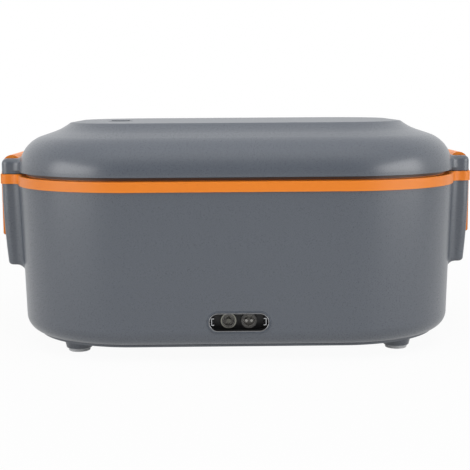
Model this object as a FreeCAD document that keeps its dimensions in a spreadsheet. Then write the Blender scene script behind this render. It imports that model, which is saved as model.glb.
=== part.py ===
import FreeCAD, Part
import math
import os
import re
import Sketcher
from FreeCAD import Vector

# An electric food warmer: a plastic casing with a heated chamber, a steel food container that
# lifts out, and a domed lid held by a flap latch at each short end. Sizes in millimetres, +Z up,
# the power inlet faces -Y, and the origin is on the table under the middle of the casing.

SIZES = {
    # rim band, whose outline every other ring follows at an inset
    "band_length": 220,
    "band_depth": 170,
    "band_corner": 60,
    "band_height": 4.8,
    "band_width": 7,
    "band_ear_proud": 0.4,
    "neck_setback": 4.2,
    "neck_width": 1.2,
    "neck_height": 1.5,
    "tongue_height": 4,
    # outer casing
    "foot_height": 6.9,
    "casing_height": 73.1,
    "casing_setback": 0.7,
    "casing_wall": 2.4,
    "casing_draft": 1.6,
    "casing_round": 8,
    "casing_floor": 3.6,
    # ears at both short ends, in casing, band and lid
    "ear_width": 56,
    "ear_setback": 0.8,
    "ear_root": 6,
    "ear_taper": 2.2,
    "ear_height": 41.7,
    "ear_round": 1.8,
    "ear_edge_round": 3.5,
    "ear_root_fillet": 5,
    "slot_width": 45,
    "slot_depth": 7.3,
    "scoop_drop": 30,
    "scoop_foot": 3.2,
    "catch_drop": 16.7,
    "catch_height": 2,
    "catch_slope": 0.6,
    # base cover and feet
    "cover_margin": 0.2,
    "cover_ledge": 3,
    "cover_thickness": 2,
    "plinth_height": 1,
    "plinth_reach": 1.6,
    "foot_inset_x": 32,
    "foot_inset_y": 30.7,
    "foot_root_diameter": 14.6,
    "foot_root_fillet": 2,
    "foot_tip_diameter": 12.6,
    "pad_diameter": 11.4,
    "pad_draft": 14,
    "pad_thickness": 2.2,
    "pad_seat": 0.4,
    "pad_edge_round": 0.5,
    "screw_diameter": 3,
    "screw_length": 13,
    "head_diameter": 6,
    "head_height": 2.2,
    "head_seat": 3.6,
    # chamber liner
    "service_height": 12.6,
    "liner_wall": 1.8,
    "liner_draft": 2,
    "liner_floor": 3,
    "liner_round": 14,
    "pillar_diameter": 7.6,
    "pillar_bore_depth": 11,
    # heating plate with its heater, clamp, thermostat and fuse
    "plate_length": 130,
    "plate_width": 84,
    "plate_corner": 12,
    "plate_thickness": 2.8,
    "plate_seat": 1.5,
    "plate_ledge": 6,
    "plate_screw_spacing": 48,
    "small_screw_diameter": 2.4,
    "small_head_diameter": 4.6,
    "small_head_height": 1.6,
    "small_screw_grip": 1.6,
    "heater_length": 64,
    "heater_width": 24,
    "heater_thickness": 6,
    "clamp_width": 18,
    "clamp_sheet": 1.2,
    "clamp_foot": 10,
    "thermostat_place": 48,
    "thermostat_diameter": 16,
    "thermostat_height": 8,
    "thermostat_flange": 27,
    "thermostat_flange_width": 9,
    "thermostat_flange_sheet": 1,
    "thermostat_screw_spacing": 21.5,
    "terminal_height": 3.4,
    "terminal_width": 4.8,
    "terminal_sheet": 0.8,
    "terminal_spacing": 8,
    "fuse_diameter": 4.2,
    "fuse_length": 11,
    "fuse_place": 22,
    "lead_diameter": 2.6,
    "lead_bend_run": 14,
    "lead_end_run": 12,
    # power inlet
    "inlet_length": 28.4,
    "inlet_height": 9,
    "inlet_rise": 12,
    "inlet_rim": 0.8,
    "inlet_rim_round": 0.28,
    "inlet_proud": 0.3,
    "inlet_depth": 9,
    "inlet_back": 3,
    "inlet_flange": 4,
    "inlet_flange_sheet": 1.6,
    "inlet_flange_gap": 1,
    "post_diameter": 7.3,
    "post_spacing": 9.6,
    "post_setback": 4.6,
    "sleeve_wall": 0.5,
    "socket_bore": 5.4,
    "socket_bore_depth": 3.6,
    "dc_pin_diameter": 2,
    "ac_pin_diameter": 1.3,
    "ac_pin_spacing": 2.4,
    "tail_length": 4,
    # food container
    "container_gap": 1.3,
    "container_wall": 0.7,
    "container_draft": 3,
    "container_round": 15,
    "container_clear": 0.3,
    "lip_reach": 4.2,
    "lip_sheet": 0.9,
    # lid
    "lid_gap": 0.4,
    "lid_setback": 0.8,
    "lid_wall": 2.4,
    "skirt_height": 13.7,
    "shoulder_inset": 21.2,
    "shoulder_rise": 7.1,
    "crown_inset": 4.8,
    "crown_rise": 3.3,
    "lid_round": 17,
    "lid_hollow_round": 8,
    "crown_fillet": 24,
    "crown_round": 1.5,
    "lid_ear_height": 7.6,
    "lid_ear_round": 2.6,
    "panel_depth": 4.8,
    "panel_thickness": 1.8,
    "panel_shelf": 1.6,
    "seal_width": 4.6,
    "seal_inset": 5.2,
    "seal_height": 3.7,
    "rib_width": 0.8,
    "rib_height": 2,
    # steam vent
    "vent_x": 60,
    "vent_y": 6,
    "vent_dish_diameter": 13,
    "vent_dish_depth": 1,
    "vent_tube_diameter": 9,
    "vent_bore": 5.4,
    "plug_cap_diameter": 9.6,
    "plug_cap_height": 1.4,
    "plug_stem_diameter": 4.8,
    "plug_stem_length": 8,
    # latches
    "latch_width": 44.2,
    "knuckle_radius": 4.6,
    "knuckle_gap": 0.8,
    "pivot_rise": 4.9,
    "flap_thickness": 2.6,
    "flap_length": 36.5,
    "flap_round": 1.2,
    "hook_drop": 29.4,
    "hook_height": 2.6,
    "hook_reach": 1.4,
    "hook_slope": 0.5,
    "pin_diameter": 2.4,
    "pin_end_wall": 2,
    # how far down the knuckle the flap's inner face starts
    "flap_root_share": 0.85,
    # shared clearances and the overrun of every cut
    "seat_gap": 0.3,
    "running_gap": 0.05,
    "overrun": 2,
}

# places that follow from the sizes above
PLACES = {
    "casing_top": "foot_height + casing_height",
    "band_top": "casing_top + band_height",
    "rim_top": "band_top + neck_height",
    "casing_lean": "casing_height * tan(casing_draft)",
    "cover_inset": "casing_setback + casing_lean + casing_round + cover_margin",
    "cover_top": "foot_height + cover_thickness",
    "plinth_base": "foot_height - plinth_height",
    "foot_x": "band_length / 2 - foot_inset_x",
    "foot_y": "band_depth / 2 - foot_inset_y",
    "boss_foot": "pad_thickness - pad_seat",
    "head_level": "pad_thickness + head_seat",
    "liner_inset": "band_width + seat_gap",
    "liner_base": "cover_top + service_height",
    "chamber_floor": "liner_base + liner_floor",
    "chamber_depth": "rim_top - chamber_floor",
    "plate_level": "chamber_floor - plate_seat",
    "plate_top": "plate_level + plate_thickness",
    "plate_screw_x": "plate_length / 2 - plate_ledge / 2",
    "plate_screw_y": "plate_screw_spacing / 2",
    "clamp_screw_y": "heater_width / 2 + clamp_sheet + clamp_foot / 2",
    "inlet_level": "foot_height + inlet_rise",
    "inlet_lean": "(casing_top - inlet_level) * tan(casing_draft)",
    "inlet_face": "band_depth / 2 - casing_setback - inlet_lean + inlet_proud",
    "inlet_floor": "inlet_face - inlet_depth",
    "inlet_end": "inlet_floor - inlet_back",
    "tail_end": "inlet_end - tail_length",
    "post_face": "inlet_face - post_setback",
    "post_x": "post_spacing / 2",
    "container_inset": "liner_inset + liner_wall + container_gap",
    "container_foot": "plate_top + container_clear",
    "lip_level": "rim_top + container_clear",
    "container_top": "lip_level + lip_sheet",
    "lid_edge": "rim_top + lid_gap",
    "skirt_top": "lid_edge + skirt_height",
    "shoulder_top": "skirt_top + shoulder_rise",
    "lid_top": "shoulder_top + crown_rise",
    "panel_level": "lid_edge + panel_depth",
    "panel_top": "panel_level + panel_thickness",
    "ear_half": "ear_width / 2",
    "pivot_x": "band_length / 2 - lid_setback + knuckle_gap + knuckle_radius",
    "ear_face": "pivot_x + knuckle_radius",
    "band_ear_face": "ear_face + ear_setback",
    "ear_back": "band_length / 2 - ear_root",
    "ear_foot": "casing_top - ear_height",
    "slot_face": "ear_face - slot_depth",
    "scoop_top": "casing_top - scoop_drop",
    "scoop_base": "ear_foot + scoop_foot",
    "catch_top": "casing_top - catch_drop",
    "catch_base": "catch_top - catch_height",
    "catch_face": "hook_face - seat_gap",
    "lid_ear_base": "band_top + seat_gap",
    "lid_ear_top": "lid_ear_base + lid_ear_height",
    "pivot_level": "band_top + pivot_rise",
    "flap_inside": "ear_face - flap_thickness",
    "flap_foot": "pivot_level - flap_length",
    "hook_top": "pivot_level - hook_drop",
    "hook_base": "hook_top - hook_height",
    "hook_face": "flap_inside - hook_reach",
    "knuckle_root": "pivot_level - knuckle_radius * flap_root_share",
}

doc = FreeCAD.newDocument("food_warmer")
sheet = doc.addObject("Spreadsheet::Sheet", "Sizes")
for row, (alias, number) in enumerate(SIZES.items(), 1):
    sheet.set(f"A{row}", alias)
    sheet.set(f"B{row}", str(number))
    sheet.setAlias(f"B{row}", alias)
doc.recompute()


def formula(text):
    """The text with each size replaced by its cell, and each place by its own formula."""

    def cell(found):
        word = found.group()
        if word in PLACES:
            return f"({formula(PLACES[word])})"
        return f"Sizes.{word}" if word in SIZES else word

    return re.sub(r"[a-z][a-z_]+", cell, text)


def measure(text):
    """The number that a formula comes to."""
    number = sheet.evalExpression(formula(text))
    return float(getattr(number, "Value", number))


def bind(thing, prop, text):
    thing.setExpression(prop, formula(text))


def new_body(label):
    body = doc.addObject("PartDesign::Body", label)
    body.Label = label
    return body


def new_sketch(body, role, offset="0"):
    """A sketch on one of the body's own planes, offset along the plane's normal."""
    sketch = body.newObject("Sketcher::SketchObject", f"{body.Name}_outline")
    origin_plane = next(f for f in body.Origin.OriginFeatures if f.Role == role)
    sketch.AttachmentSupport = [(origin_plane, "")]
    sketch.MapMode = "FlatFace"
    if offset != "0":
        bind(sketch, "AttachmentOffset.Base.z", offset)
    return sketch


def hold(sketch, kind, first, second, text):
    """A distance between two (geometry, point) pairs, in the direction that makes it positive."""
    number = measure(text)
    if number < 0:
        first, second, number, text = second, first, -number, f"-({text})"
    index = sketch.addConstraint(Sketcher.Constraint(kind, *first, *second, number))
    bind(sketch, f"Constraints[{index}]", text)


def fix_point(sketch, geometry, point, x, y):
    """Ties a point to the sketch's origin by two formulas."""
    for kind, text, axis in (("DistanceX", x, -2), ("DistanceY", y, -1)):
        if measure(text) == 0:
            sketch.addConstraint(Sketcher.Constraint("PointOnObject", geometry, point, axis))
        else:
            hold(sketch, kind, (-1, 1), (geometry, point), text)


def polygon(sketch, points):
    """A closed outline of straight lines through points that are pairs of formulas."""
    places = [Vector(measure(x), measure(y), 0) for x, y in points]
    first = sketch.GeometryCount
    count = len(points)
    for i in range(count):
        sketch.addGeometry(Part.LineSegment(places[i], places[(i + 1) % count]))
    for i, (x, y) in enumerate(points):
        after = first + (i + 1) % count
        sketch.addConstraint(Sketcher.Constraint("Coincident", first + i, 2, after, 1))
        fix_point(sketch, first + i, 1, x, y)


def both_ends(sketch, points):
    """The same outline at the right end and, mirrored, at the left end."""
    polygon(sketch, points)
    polygon(sketch, [(f"-({x})", y) for x, y in points])


def circle(sketch, x, y, diameter):
    place = Vector(measure(x), measure(y), 0)
    index = sketch.addGeometry(Part.Circle(place, Vector(0, 0, 1), measure(diameter) / 2))
    fix_point(sketch, index, 3, x, y)
    size = Sketcher.Constraint("Diameter", index, measure(diameter))
    bind(sketch, f"Constraints[{sketch.addConstraint(size)}]", diameter)


def four_circles(sketch, x, y, diameter):
    for side in ("", "-"):
        for end in ("", "-"):
            circle(sketch, f"{side}({x})", f"{end}({y})", diameter)


def rounded_rectangle(sketch, half_x, half_y, corner):
    """A rectangle about the origin with four equal round corners."""
    x, y, r = measure(half_x), measure(half_y), measure(corner)
    turns = ((1, -1, 270), (1, 1, 0), (-1, 1, 90), (-1, -1, 180))
    centres = [Vector(sx * (x - r), sy * (y - r), 0) for sx, sy, start in turns]
    corners = []
    for centre, (sx, sy, start) in zip(centres, turns):
        round_edge = Part.Circle(centre, Vector(0, 0, 1), r)
        first = math.radians(start)
        corners.append(Part.ArcOfCircle(round_edge, first, first + math.pi / 2))
    for i, arc in enumerate(corners):
        sketch.addGeometry(Part.LineSegment(corners[i - 1].EndPoint, arc.StartPoint))
        sketch.addGeometry(arc)
    for i in range(8):
        sketch.addConstraint(Sketcher.Constraint("Tangent", i, 2, (i + 1) % 8, 1))
    for i in (0, 4):
        sketch.addConstraint(Sketcher.Constraint("Horizontal", i))
        sketch.addConstraint(Sketcher.Constraint("Vertical", i + 2))
    for i in (3, 5, 7):
        sketch.addConstraint(Sketcher.Constraint("Equal", 1, i))
    sketch.addConstraint(Sketcher.Constraint("Symmetric", 7, 3, 3, 3, -1, 1))
    size = Sketcher.Constraint("Radius", 1, r)
    bind(sketch, f"Constraints[{sketch.addConstraint(size)}]", corner)
    hold(sketch, "DistanceX", (-1, 1), (2, 1), half_x)
    hold(sketch, "DistanceY", (-1, 1), (4, 1), half_y)


def ring(sketch, inset):
    """The band's outline, moved inwards."""
    half_x = f"band_length / 2 - ({inset})"
    half_y = f"band_depth / 2 - ({inset})"
    rounded_rectangle(sketch, half_x, half_y, f"band_corner - ({inset})")


def obround(sketch, length, height, level):
    """A slot with round ends, centred on the sketch's upright axis at a level."""
    half = measure(f"(({length}) - ({height})) / 2")
    r = measure(height) / 2
    z = measure(level)
    ends = []
    for x, first in ((half, -math.pi / 2), (-half, math.pi / 2)):
        end = Part.Circle(Vector(x, z, 0), Vector(0, 0, 1), r)
        ends.append(Part.ArcOfCircle(end, first, first + math.pi))
    sketch.addGeometry(ends[0])
    sketch.addGeometry(Part.LineSegment(ends[0].EndPoint, ends[1].StartPoint))
    sketch.addGeometry(ends[1])
    sketch.addGeometry(Part.LineSegment(ends[1].EndPoint, ends[0].StartPoint))
    for i in range(4):
        sketch.addConstraint(Sketcher.Constraint("Tangent", i, 2, (i + 1) % 4, 1))
    sketch.addConstraint(Sketcher.Constraint("Horizontal", 1))
    size = Sketcher.Constraint("Radius", 0, r)
    bind(sketch, f"Constraints[{sketch.addConstraint(size)}]", f"({height}) / 2")
    fix_point(sketch, 0, 3, f"(({length}) - ({height})) / 2", level)
    hold(sketch, "DistanceX", (2, 3), (0, 3), f"({length}) - ({height})")


def pad(body, sketch, length, draft="0", down=False, both_ways=False):
    """Adds an extrusion along the sketch's normal, narrowing by a draft angle."""
    feature = body.newObject("PartDesign::Pad", f"{body.Name}_pad")
    feature.Profile = sketch
    feature.Reversed = down
    feature.Midplane = both_ways
    bind(feature, "Length", length)
    if draft != "0":
        bind(feature, "TaperAngle", f"-({draft})")
    body.Tip = feature


def pocket(body, sketch, length, draft="0", up=False, both_ways=False):
    """Cuts an extrusion, against the sketch's normal unless up, and checks that it cut."""
    doc.recompute()
    before = body.Shape.Volume
    feature = body.newObject("PartDesign::Pocket", f"{body.Name}_cut")
    feature.Profile = sketch
    feature.Reversed = up
    feature.Midplane = both_ways
    bind(feature, "Length", length)
    if draft != "0":
        bind(feature, "TaperAngle", f"-({draft})")
    body.Tip = feature
    doc.recompute()
    if not body.Shape.Volume < before:
        raise RuntimeError(f"{feature.Name} cut nothing")


def round_edges(body, radius, chosen):
    """Rounds the edges of the body so far for which chosen(edge) is true."""
    doc.recompute()
    base = body.Tip
    names = [f"Edge{i}" for i, edge in enumerate(base.Shape.Edges, 1) if chosen(edge)]
    if not names:
        raise RuntimeError(f"no edge to round on {body.Label}")
    feature = body.newObject("PartDesign::Fillet", f"{body.Name}_round")
    feature.Base = (base, names)
    bind(feature, "Radius", radius)
    body.Tip = feature
    doc.recompute()
    if "Invalid" in feature.State:
        raise RuntimeError(f"{feature.Name} does not fit")


same_place = 1e-4


def near(number, text):
    return abs(number - measure(text)) < same_place


def level_edge(*levels):
    """A test for edges that lie flat at one of the levels."""

    def chosen(edge):
        box = edge.BoundBox
        return any(near(box.ZMin, level) and near(box.ZMax, level) for level in levels)

    return chosen


# Outer casing: a drafted tub with a rounded lower edge, a solid ear at each end that guides and
# catches the latch, a stepped opening in the floor for the base cover, and the inlet's hole.
casing = new_body("outer_casing")
sketch = new_sketch(casing, "XY_Plane", "casing_top")
ring(sketch, "casing_setback")
pad(casing, sketch, "casing_height", "casing_draft", down=True)
round_edges(casing, "casing_round", level_edge("foot_height"))


def ear_profile(sketch, side):
    """One ear seen from the front: a block whose outer face bows in towards its foot."""
    bow = "(ear_height * ear_height + ear_taper * ear_taper) / (2 * ear_taper)"
    corners = [
        (f"{side}(ear_face - ear_taper)", "ear_foot"),
        (f"{side}ear_back", "ear_foot"),
        (f"{side}ear_back", "casing_top"),
        (f"{side}ear_face", "casing_top"),
    ]
    places = [Vector(measure(x), measure(z), 0) for x, z in corners]
    first = sketch.GeometryCount
    for start, end in zip(places, places[1:]):
        sketch.addGeometry(Part.LineSegment(start, end))
    centre = Vector(measure(f"{side}(ear_face - {bow})"), measure("casing_top"), 0)
    turn = math.atan2(measure("ear_height"), measure(f"{bow} - ear_taper"))
    start_angle = math.pi if side else -turn
    face = Part.Circle(centre, Vector(0, 0, 1), measure(bow))
    arc = sketch.addGeometry(Part.ArcOfCircle(face, start_angle, start_angle + turn))
    upper_end, lower_end = (1, 2) if side else (2, 1)
    for i in (first, first + 1):
        sketch.addConstraint(Sketcher.Constraint("Coincident", i, 2, i + 1, 1))
    sketch.addConstraint(Sketcher.Constraint("Coincident", first + 2, 2, arc, upper_end))
    sketch.addConstraint(Sketcher.Constraint("Coincident", first, 1, arc, lower_end))
    for i, (x, z) in enumerate(corners[:3]):
        fix_point(sketch, first + i, 1, x, z)
    fix_point(sketch, first + 2, 2, *corners[3])
    hold(sketch, "DistanceY", (-1, 1), (arc, 3), "casing_top")


sketch = new_sketch(casing, "XZ_Plane")
ear_profile(sketch, "")
ear_profile(sketch, "-")
pad(casing, sketch, "ear_width", both_ways=True)


def ear_side(edge):
    box = edge.BoundBox
    on_side = near(abs(box.Center.y), "ear_half")
    return on_side and min(abs(box.XMin), abs(box.XMax)) > measure("slot_face")


def ear_toe(edge):
    ends = [vertex.Point for vertex in edge.Vertexes]
    far_out = all(near(abs(end.x), "ear_face - ear_taper") for end in ends)
    return far_out and all(near(end.z, "ear_foot") for end in ends)


def ear_root(edge):
    """The edges where an ear leaves the wall that carries it."""
    ends = [vertex.Point for vertex in edge.Vertexes]
    on_wall = all(measure("ear_back") < abs(end.x) < measure("band_length / 2") for end in ends)
    beside = all(abs(end.y) < measure("ear_half + ear_setback") for end in ends)
    return on_wall and beside and all(end.z > measure("ear_foot") - same_place for end in ends)


round_edges(casing, "ear_edge_round", ear_side)
round_edges(casing, "ear_round", ear_toe)
round_edges(casing, "ear_root_fillet", ear_root)
sketch = new_sketch(casing, "XZ_Plane")
both_ends(
    sketch,
    [
        ("slot_face", "casing_top + overrun"),
        ("slot_face", "scoop_top"),
        ("ear_face", "scoop_base"),
        ("ear_face + overrun", "scoop_base"),
        ("ear_face + overrun", "casing_top + overrun"),
    ],
)
pocket(casing, sketch, "slot_width", both_ways=True)
sketch = new_sketch(casing, "XZ_Plane")
both_ends(
    sketch,
    [
        ("ear_back", "catch_base"),
        ("slot_face", "catch_base"),
        ("catch_face", "catch_base + catch_slope"),
        ("catch_face", "catch_top - catch_slope"),
        ("slot_face", "catch_top"),
        ("ear_back", "catch_top"),
    ],
)
pad(casing, sketch, "slot_width", both_ways=True)

sketch = new_sketch(casing, "XY_Plane", "casing_top")
ring(sketch, "casing_setback + casing_wall")
pocket(casing, sketch, "casing_height - casing_floor", "casing_draft")
round_edges(casing, "casing_round - casing_wall", level_edge("foot_height + casing_floor"))
sketch = new_sketch(casing, "XY_Plane", "foot_height")
ring(sketch, "cover_inset")
pocket(casing, sketch, "cover_thickness", up=True)
sketch = new_sketch(casing, "XY_Plane", "foot_height")
ring(sketch, "cover_inset + cover_ledge")
pocket(casing, sketch, "casing_floor", up=True)
sketch = new_sketch(casing, "XZ_Plane", "band_depth / 2")
hole_length = "inlet_length + 2 * (inlet_rim + running_gap)"
hole_height = "inlet_height + 2 * (inlet_rim + running_gap)"
obround(sketch, hole_length, hole_height, "inlet_level")
pocket(casing, sketch, "casing_round + casing_wall")

# Base cover: a plate let into the casing's floor, with a low plinth that closes over the opening's
# edge and a tapered boss for each foot. Each boss is counterbored for a screw head and has a
# shallow seat for the rubber pad over it.
cover = new_body("base_cover")
sketch = new_sketch(cover, "XY_Plane", "plinth_base")
ring(sketch, "cover_inset + seat_gap")
pad(cover, sketch, "cover_thickness + plinth_height")
sketch = new_sketch(cover, "XY_Plane", "plinth_base")
ring(sketch, "cover_inset - plinth_reach")
pad(cover, sketch, "plinth_height - running_gap")
sketch = new_sketch(cover, "XY_Plane", "plinth_base")
four_circles(sketch, "foot_x", "foot_y", "foot_root_diameter")
boss_draft = "atan((foot_root_diameter - foot_tip_diameter) / 2 / (plinth_base - boss_foot))"
pad(cover, sketch, "plinth_base - boss_foot", boss_draft, down=True)


def boss_root(edge):
    round_edge = isinstance(edge.Curve, Part.Circle)
    return round_edge and near(edge.Curve.Radius, "foot_root_diameter / 2")


round_edges(cover, "foot_root_fillet", boss_root)
sketch = new_sketch(cover, "XY_Plane", "boss_foot")
four_circles(sketch, "foot_x", "foot_y", "pad_diameter + 2 * running_gap")
pocket(cover, sketch, "pad_seat", up=True)
sketch = new_sketch(cover, "XY_Plane", "pad_thickness")
four_circles(sketch, "foot_x", "foot_y", "head_diameter + 2 * seat_gap")
pocket(cover, sketch, "head_seat", up=True)
sketch = new_sketch(cover, "XY_Plane", "head_level")
four_circles(sketch, "foot_x", "foot_y", "screw_diameter + 2 * seat_gap")
pocket(cover, sketch, "cover_top - head_level", up=True)

# Foot pads: tapered rubber discs pressed into the bosses, one at each corner.
for end, end_sign in (("front", "-"), ("rear", "")):
    for side, side_sign in (("left", "-"), ("right", "")):
        foot_pad = new_body(f"foot_pad_{end}_{side}")
        sketch = new_sketch(foot_pad, "XY_Plane", "pad_thickness")
        circle(sketch, f"{side_sign}foot_x", f"{end_sign}foot_y", "pad_diameter")
        pad(foot_pad, sketch, "pad_thickness", "pad_draft", down=True)
        round_edges(foot_pad, "pad_edge_round", level_edge("pad_thickness - pad_thickness"))


def screw(name, x, y, head_level, length, sizes):
    """A pan-head screw that points up: a head below head_level and a shank above it."""
    shank_diameter, cap_diameter, cap_height = sizes
    head = doc.addObject("Part::Cylinder", f"{name}_head")
    shank = doc.addObject("Part::Cylinder", f"{name}_shank")
    for thing, diameter, height, level in (
        (head, cap_diameter, cap_height, f"{head_level} - {cap_height}"),
        (shank, shank_diameter, length, head_level),
    ):
        bind(thing, "Radius", f"({diameter}) / 2")
        bind(thing, "Height", height)
        bind(thing, "Placement.Base.x", x)
        bind(thing, "Placement.Base.y", y)
        bind(thing, "Placement.Base.z", level)
    whole = doc.addObject("Part::Fuse", name)
    whole.Base = head
    whole.Tool = shank
    return whole


def screw_group(label, places, head_level, length, sizes):
    group = doc.addObject("Part::Compound", label)
    group.Label = label
    group.Links = [
        screw(f"{label}_{i}", x, y, head_level, length, sizes)
        for i, (x, y) in enumerate(places, 1)
    ]
    return group


def corners(x, y):
    return [(f"{side}{x}", f"{end}{y}") for side in ("", "-") for end in ("", "-")]


case_screw = ("screw_diameter", "head_diameter", "head_height")
small_screw = ("small_screw_diameter", "small_head_diameter", "small_head_height")
base_screws = screw_group(
    "base_screws", corners("foot_x", "foot_y"), "head_level", "screw_length", case_screw
)

# Rim band: the ring between casing and lid. It carries the casing's wall outside its tongue, the
# liner's flange inside its neck, and an arm round each ear slot.
band = new_body("rim_band")
sketch = new_sketch(band, "XY_Plane", "casing_top")
ring(sketch, "0")
pad(band, sketch, "band_height")
sketch = new_sketch(band, "XZ_Plane")
both_ends(
    sketch,
    [
        ("ear_back", "casing_top"),
        ("band_ear_face", "casing_top"),
        ("band_ear_face", "band_top"),
        ("ear_back", "band_top"),
    ],
)
pad(band, sketch, "ear_width + 2 * band_ear_proud", both_ways=True)


def band_upright(edge):
    return near(edge.BoundBox.ZMin, "casing_top") and near(edge.BoundBox.ZMax, "band_top")


def band_ear_edge(edge):
    return band_upright(edge) and near(abs(edge.BoundBox.Center.x), "band_ear_face")


round_edges(band, "ear_edge_round + band_ear_proud", band_ear_edge)
round_edges(band, "ear_root_fillet", lambda edge: band_upright(edge) and ear_root(edge))
sketch = new_sketch(band, "XZ_Plane")
both_ends(
    sketch,
    [
        ("band_length / 2", "casing_top - overrun"),
        ("band_ear_face + overrun", "casing_top - overrun"),
        ("band_ear_face + overrun", "band_top + overrun"),
        ("band_length / 2", "band_top + overrun"),
    ],
)
pocket(band, sketch, "slot_width", both_ways=True)
sketch = new_sketch(band, "XY_Plane", "band_top")
ring(sketch, "neck_setback")
pad(band, sketch, "neck_height")
sketch = new_sketch(band, "XY_Plane", "casing_top")
ring(sketch, "casing_setback + casing_wall + seat_gap")
pad(band, sketch, "tongue_height", "casing_draft", down=True)
sketch = new_sketch(band, "XY_Plane", "rim_top")
ring(sketch, "neck_setback + neck_width")
pocket(band, sketch, "neck_height")
sketch = new_sketch(band, "XY_Plane", "band_top")
ring(sketch, "band_width")
pocket(band, sketch, "band_height + tongue_height")

# Chamber liner: a tub that hangs by its flange inside the band's neck. Its floor has a stepped
# opening for the heating plate, and four pillars below it take the base screws.
liner = new_body("chamber_liner")
sketch = new_sketch(liner, "XY_Plane", "band_top")
ring(sketch, "liner_inset")
pad(liner, sketch, "band_top - liner_base", "liner_draft", down=True)
sketch = new_sketch(liner, "XY_Plane", "band_top")
ring(sketch, "neck_setback + neck_width + seat_gap")
pad(liner, sketch, "neck_height")
sketch = new_sketch(liner, "XY_Plane", "rim_top")
ring(sketch, "liner_inset + liner_wall")
pocket(liner, sketch, "chamber_depth", "liner_draft")
round_edges(liner, "liner_round - liner_wall", level_edge("chamber_floor"))
round_edges(liner, "liner_round", level_edge("liner_base"))
sketch = new_sketch(liner, "XY_Plane", "chamber_floor")
rounded_rectangle(
    sketch,
    "plate_length / 2 + seat_gap",
    "plate_width / 2 + seat_gap",
    "plate_corner + seat_gap",
)
pocket(liner, sketch, "plate_seat")
sketch = new_sketch(liner, "XY_Plane", "plate_level")
rounded_rectangle(
    sketch,
    "plate_length / 2 - plate_ledge",
    "plate_width / 2 - plate_ledge",
    "plate_corner - plate_ledge",
)
pocket(liner, sketch, "liner_floor - plate_seat")
sketch = new_sketch(liner, "XY_Plane", "chamber_floor")
four_circles(sketch, "foot_x", "foot_y", "pillar_diameter")
pad(liner, sketch, "chamber_floor - cover_top", down=True)
sketch = new_sketch(liner, "XY_Plane", "cover_top")
four_circles(sketch, "foot_x", "foot_y", "screw_diameter + 2 * running_gap")
pocket(liner, sketch, "pillar_bore_depth", up=True)
sketch = new_sketch(liner, "XY_Plane", "liner_base")
plate_screw_hole = "small_screw_diameter + 2 * running_gap"
four_circles(sketch, "plate_screw_x", "plate_screw_y", plate_screw_hole)
pocket(liner, sketch, "liner_floor - plate_seat", up=True)

# Heating plate: an aluminium plate let into the liner's floor, blind-tapped from below for its
# own four screws and for the screws of the clamp and the thermostat.
plate = new_body("heating_plate")
sketch = new_sketch(plate, "XY_Plane", "plate_level")
rounded_rectangle(sketch, "plate_length / 2", "plate_width / 2", "plate_corner")
pad(plate, sketch, "plate_thickness")
clamp_screw_places = [("0", "clamp_screw_y"), ("0", "-clamp_screw_y")]
thermostat_screw_y = "thermostat_screw_spacing / 2"
thermostat_screw_places = [
    ("thermostat_place", thermostat_screw_y),
    ("thermostat_place", f"-{thermostat_screw_y}"),
]
sketch = new_sketch(plate, "XY_Plane", "plate_level")
four_circles(sketch, "plate_screw_x", "plate_screw_y", plate_screw_hole)
for x, y in clamp_screw_places + thermostat_screw_places:
    circle(sketch, x, y, plate_screw_hole)
pocket(plate, sketch, "small_screw_grip + running_gap", up=True)
plate_screws = screw_group(
    "heating_plate_screws",
    corners("plate_screw_x", "plate_screw_y"),
    "liner_base",
    "liner_floor - plate_seat + small_screw_grip",
    small_screw,
)

# Heater: a flat element in an aluminium sleeve, pressed against the plate by a hat-shaped strap.
heater = doc.addObject("Part::Box", "ptc_heater")
heater.Label = "ptc_heater"
bind(heater, "Length", "heater_length")
bind(heater, "Width", "heater_width")
bind(heater, "Height", "heater_thickness")
bind(heater, "Placement.Base.x", "-heater_length / 2")
bind(heater, "Placement.Base.y", "-heater_width / 2")
bind(heater, "Placement.Base.z", "plate_level - heater_thickness")

clamp = new_body("heater_clamp")
sketch = new_sketch(clamp, "YZ_Plane")
inner_y = "heater_width / 2"
outer_y = "heater_width / 2 + clamp_sheet"
foot_y_end = "heater_width / 2 + clamp_sheet + clamp_foot"
strap_top = "plate_level - heater_thickness"
foot_under = "plate_level - clamp_sheet"
half_hat = [
    (inner_y, strap_top),
    (inner_y, "plate_level"),
    (foot_y_end, "plate_level"),
    (foot_y_end, foot_under),
    (outer_y, foot_under),
    (outer_y, f"{strap_top} - clamp_sheet"),
]
polygon(sketch, half_hat + [(f"-({y})", z) for y, z in reversed(half_hat)])
pad(clamp, sketch, "clamp_width", both_ways=True)
sketch = new_sketch(clamp, "XY_Plane", "plate_level")
for x, y in clamp_screw_places:
    circle(sketch, x, y, plate_screw_hole)
pocket(clamp, sketch, "clamp_sheet")
clamp_screws = screw_group(
    "heater_clamp_screws",
    clamp_screw_places,
    foot_under,
    "clamp_sheet + small_screw_grip",
    small_screw,
)

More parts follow.
